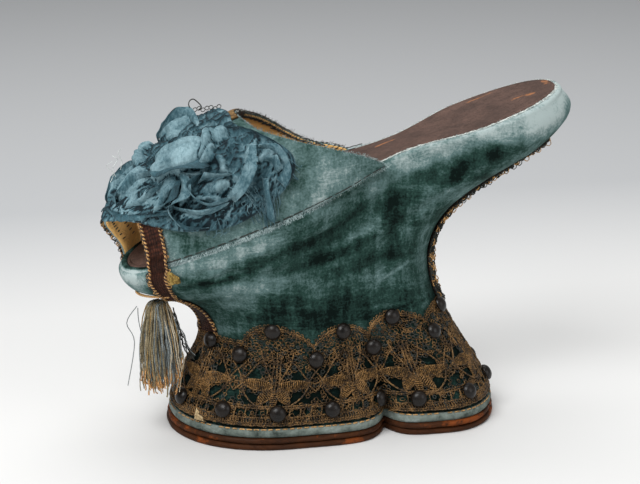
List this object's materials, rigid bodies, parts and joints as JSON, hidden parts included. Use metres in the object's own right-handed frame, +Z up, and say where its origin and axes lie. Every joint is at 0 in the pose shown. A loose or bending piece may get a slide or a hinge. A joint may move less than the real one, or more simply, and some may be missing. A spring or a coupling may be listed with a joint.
{
  "type": "chopine platform shoe",
  "caption": "Tall chopine platform shoe: velvet-covered carved platform, open-toed hollow vamp with silk rosette and tassel, metal lace and dome nails round a flared base.",
  "frame": {"origin": "middle of the outsole's underside, under the ball's centre line, on the floor", "axes": "+X from toe to heel, +Y to the far side, -Y the near side that the picture shows, +Z up"},
  "size_m": [0.2303, 0.0948, 0.1592],
  "materials": {
    "green_velvet": "crushed silk velvet, dark green-blue with pale worn nap",
    "pale_velvet": "worn pale blue velvet",
    "sole_leather": "dark brown sole leather, russet at the edges",
    "insole_leather": "dull cracked brown leather",
    "dark_tape": "dark purple-brown silk tape with gilt cord edges",
    "metal_lace": "tarnished gilt metal-thread bobbin lace",
    "nail_metal": "dark patinated dome nail heads",
    "blue_silk": "thin crumpled blue silk ribbon",
    "gold_thread": "silk floss, gold, cream and blue-grey"
  },
  "bodies": {
    "root": {"outsole_lower": "sole_leather", "outsole_upper": "sole_leather", "base_band": "pale_velvet", "platform": "green_velvet", "insole": "insole_leather", "upper": "green_velvet", "toe_binding": "dark_tape", "throat_braid": "metal_lace", "front_tape_near": "dark_tape", "front_tape_far": "dark_tape", "back_braid": "metal_lace", "base_lace": "metal_lace", "silk_rosette": "blue_silk", "tassel_skirt": "gold_thread", "tassel_head": "gold_thread", "nail_low_near_00": "nail_metal", "nail_low_near_01": "nail_metal", "nail_low_near_02": "nail_metal", "nail_low_near_03": "nail_metal", "nail_low_near_04": "nail_metal", "nail_low_near_05": "nail_metal", "nail_low_near_06": "nail_metal", "nail_low_near_07": "nail_metal", "nail_high_near_08": "nail_metal", "nail_high_near_09": "nail_metal", "nail_high_near_10": "nail_metal", "nail_high_near_11": "nail_metal", "nail_high_near_12": "nail_metal", "nail_high_near_13": "nail_metal", "nail_high_near_14": "nail_metal", "nail_high_near_15": "nail_metal", "nail_high_near_16": "nail_metal", "nail_low_far_00": "nail_metal", "nail_low_far_01": "nail_metal", "nail_low_far_02": "nail_metal", "nail_low_far_03": "nail_metal", "nail_low_far_04": "nail_metal", "nail_low_far_05": "nail_metal", "nail_low_far_06": "nail_metal", "nail_low_far_07": "nail_metal", "nail_high_far_08": "nail_metal", "nail_high_far_09": "nail_metal", "nail_high_far_10": "nail_metal", "nail_high_far_11": "nail_metal", "nail_high_far_12": "nail_metal", "nail_high_far_13": "nail_metal", "nail_high_far_14": "nail_metal", "nail_high_far_15": "nail_metal", "nail_high_far_16": "nail_metal"}
  },
  "joints": []
}
